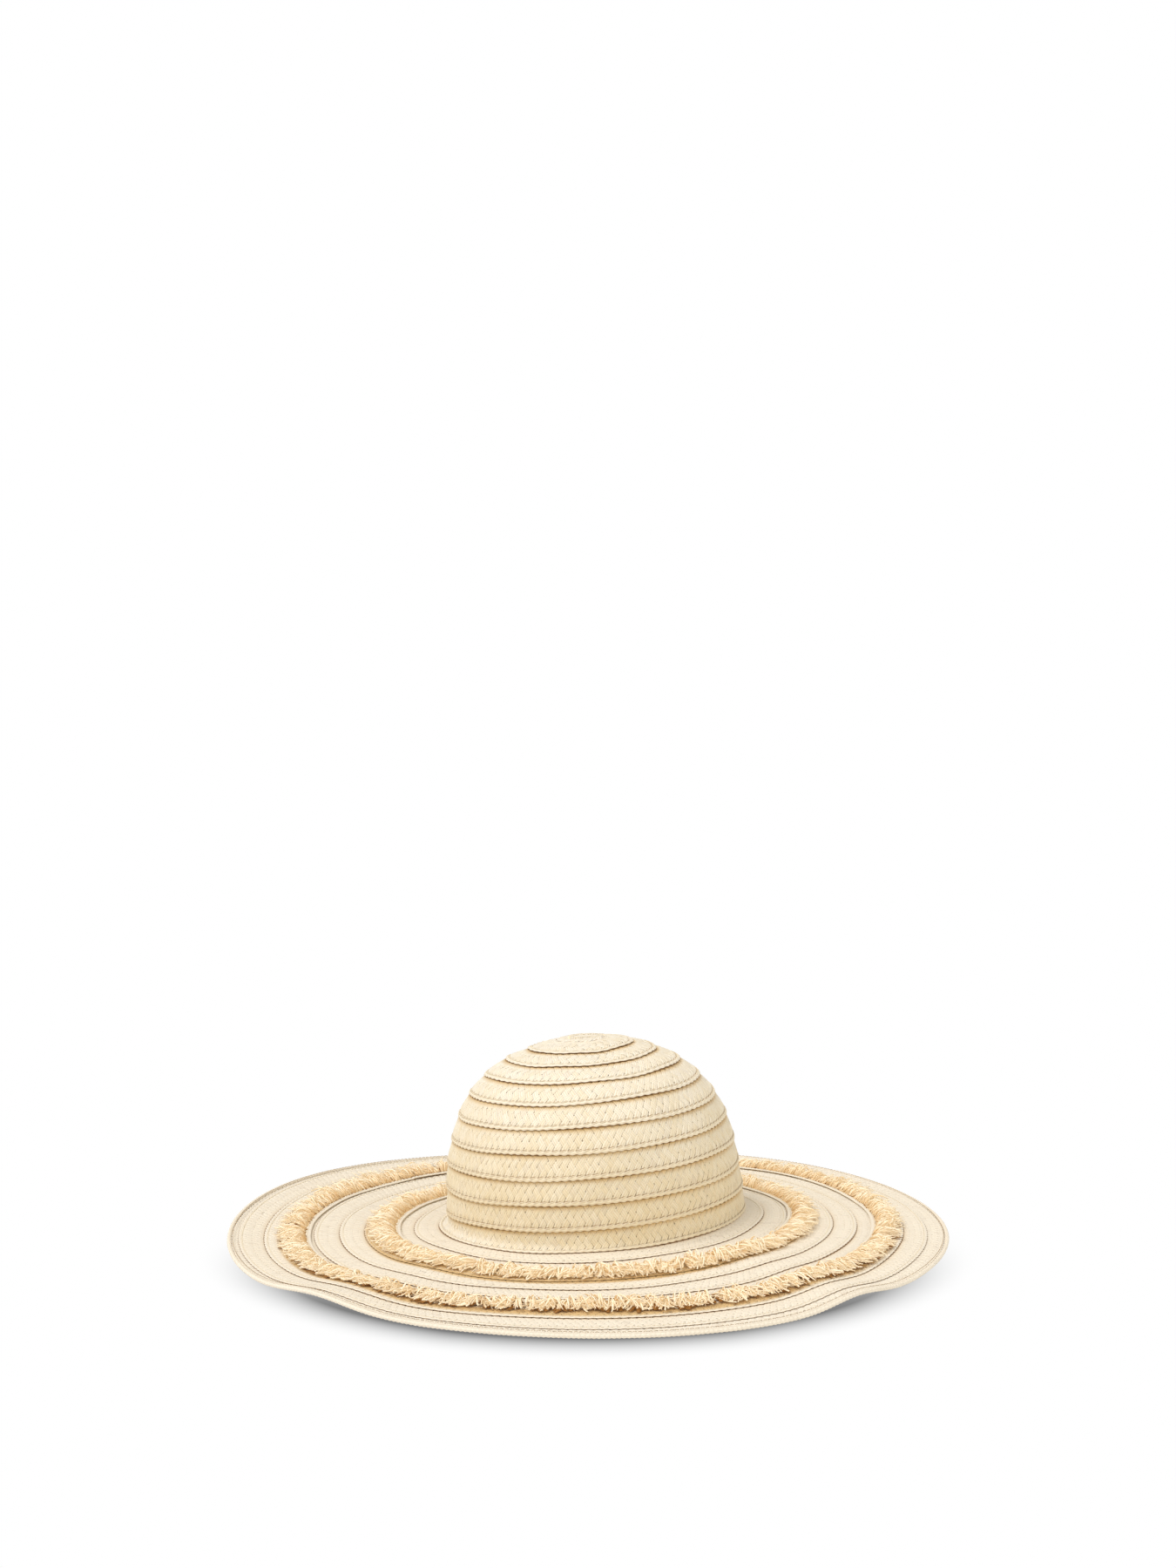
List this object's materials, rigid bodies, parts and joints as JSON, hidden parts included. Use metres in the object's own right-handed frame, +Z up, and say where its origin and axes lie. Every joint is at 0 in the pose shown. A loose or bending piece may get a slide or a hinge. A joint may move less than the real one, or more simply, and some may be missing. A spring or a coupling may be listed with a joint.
{
  "type": "straw sun hat",
  "caption": "Wide-brimmed straw sun hat sewn from spiralled plaited braid, with fringed trims round the brim, a rolled wired edge and an inner sweatband",
  "frame": {"origin": "centre of the hat on the surface that the brim rests on", "axes": "+Z up through the crown; +X along the long way of the head opening, to the wearer's side; +Y towards the back, where the label hangs"},
  "size_m": [0.462, 0.454, 0.1348],
  "materials": {
    "straw_braid": "plaited cream straw, slight sheen",
    "straw_tape": "narrow woven straw tape",
    "raffia": "loose golden tan flat fibres",
    "thread": "sewing thread, matt",
    "wire": "spring wire",
    "wire_sleeve": "crimped tube",
    "ribbon": "ribbed cotton ribbon",
    "ribbon_thread": "sewing thread, matt",
    "label_cloth": "blank satin label cloth"
  },
  "bodies": {
    "hat": {"crown_tip_braid": "straw_braid", "crown_tip_thread": "thread", "crown_braid": "straw_braid", "crown_thread": "thread", "brim_braid_inner": "straw_braid", "brim_thread_inner": "thread", "fringe_tape_inner": "straw_tape", "fringe_inner": "raffia", "fringe_thread_inner": "thread", "brim_braid_middle": "straw_braid", "brim_thread_middle": "thread", "fringe_tape_outer": "straw_tape", "fringe_outer": "raffia", "fringe_thread_outer": "thread", "brim_braid_outer": "straw_braid", "brim_thread_outer": "thread", "edge_roll": "straw_braid", "edge_thread": "thread", "brim_wire": "wire", "wire_sleeve": "wire_sleeve", "sweatband": "ribbon", "sweatband_thread": "ribbon_thread", "label_tab": "label_cloth", "label_thread": "ribbon_thread"},
    "label_flap": {"label": "label_cloth"}
  },
  "joints": [
    {"name": "label_swing", "type": "hinge", "parent": "hat", "child": "label_flap", "pos_m": [0.00325, 0.08471, 0.04429], "axis": [-1, 0, 0], "range_deg": [0, 110]}
  ]
}
